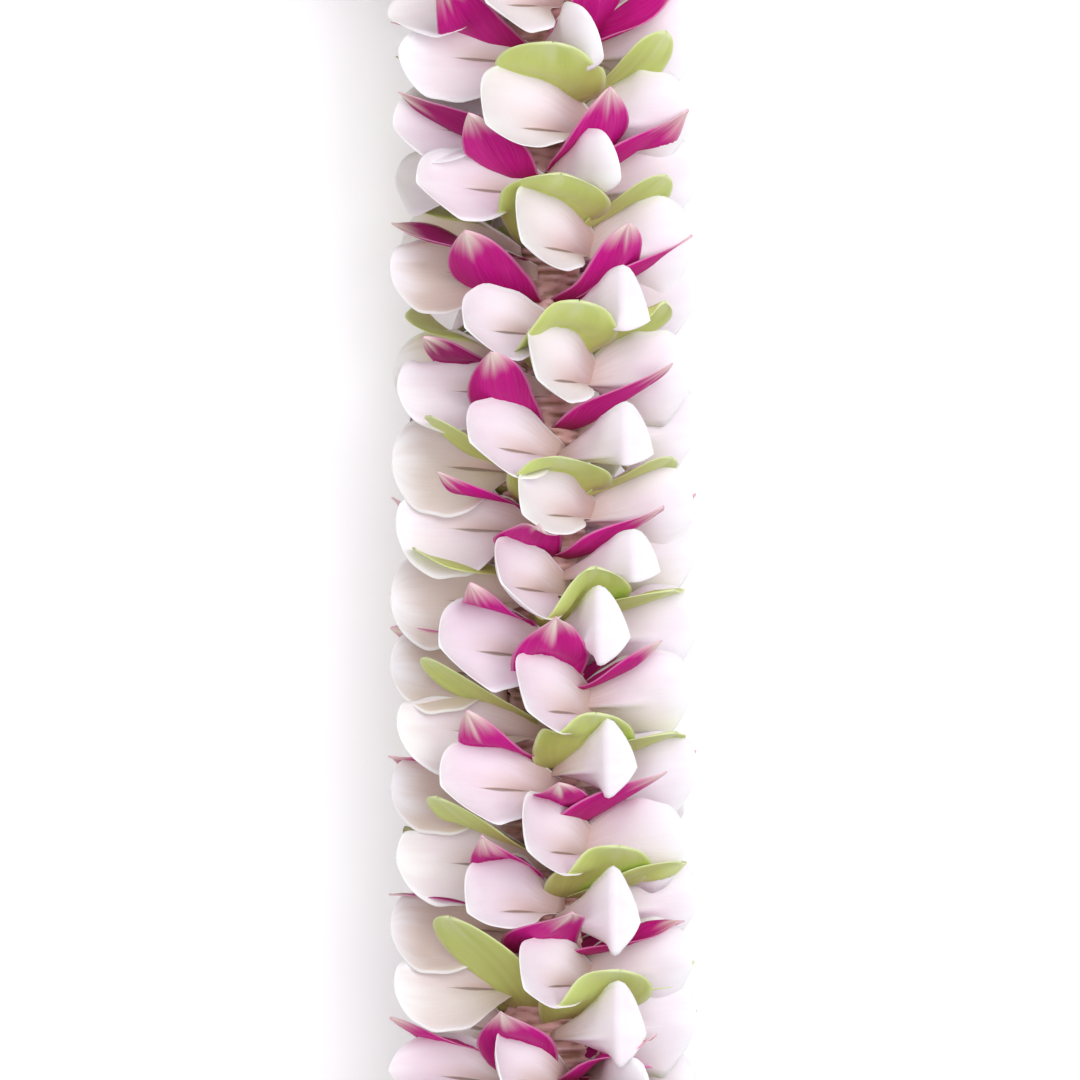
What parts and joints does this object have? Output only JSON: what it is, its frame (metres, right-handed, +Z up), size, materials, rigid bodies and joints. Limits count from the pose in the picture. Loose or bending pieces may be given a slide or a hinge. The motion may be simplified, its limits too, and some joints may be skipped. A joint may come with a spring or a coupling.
{
  "type": "fresh flower lei",
  "caption": "Fresh flower lei: white petals with magenta and yellow-green petals packed in tiers on a thread, tied in a loop and laid flat.",
  "frame": {"origin": "under the middle of the loop's box, on the surface it lies on", "axes": "+Z up, +Y along the straight side, the way its petals open"},
  "size_m": [0.2587, 0.4686, 0.0677],
  "materials": {
    "white_petal": "satin",
    "magenta_petal": "satin",
    "green_petal": "satin",
    "petal_base": "matte",
    "thread": "matte"
  },
  "bodies": {
    "root": {"petal_cluster_01": "white_petal", "petal_cluster_02": "white_petal", "petal_cluster_03": "white_petal", "petal_cluster_04": "white_petal", "petal_cluster_05": "white_petal", "petal_cluster_06": "white_petal", "petal_cluster_07": "white_petal", "petal_cluster_08": "white_petal", "petal_cluster_09": "white_petal", "petal_cluster_10": "white_petal", "petal_cluster_11": "white_petal", "petal_cluster_12": "white_petal", "petal_cluster_13": "white_petal", "petal_cluster_14": "white_petal", "petal_cluster_15": "white_petal", "petal_cluster_16": "white_petal", "petal_cluster_17": "white_petal", "petal_cluster_18": "white_petal", "petal_cluster_19": "white_petal", "petal_cluster_20": "white_petal", "petal_cluster_21": "white_petal", "petal_cluster_22": "white_petal", "petal_cluster_23": "white_petal", "petal_cluster_24": "white_petal", "petal_cluster_25": "white_petal", "petal_cluster_26": "white_petal", "petal_cluster_27": "white_petal", "petal_cluster_28": "white_petal", "petal_cluster_29": "white_petal", "petal_cluster_30": "white_petal", "petal_cluster_31": "white_petal", "petal_cluster_32": "white_petal", "petal_cluster_33": "white_petal", "thread": "thread", "thread_knot": "thread"}
  },
  "joints": []
}
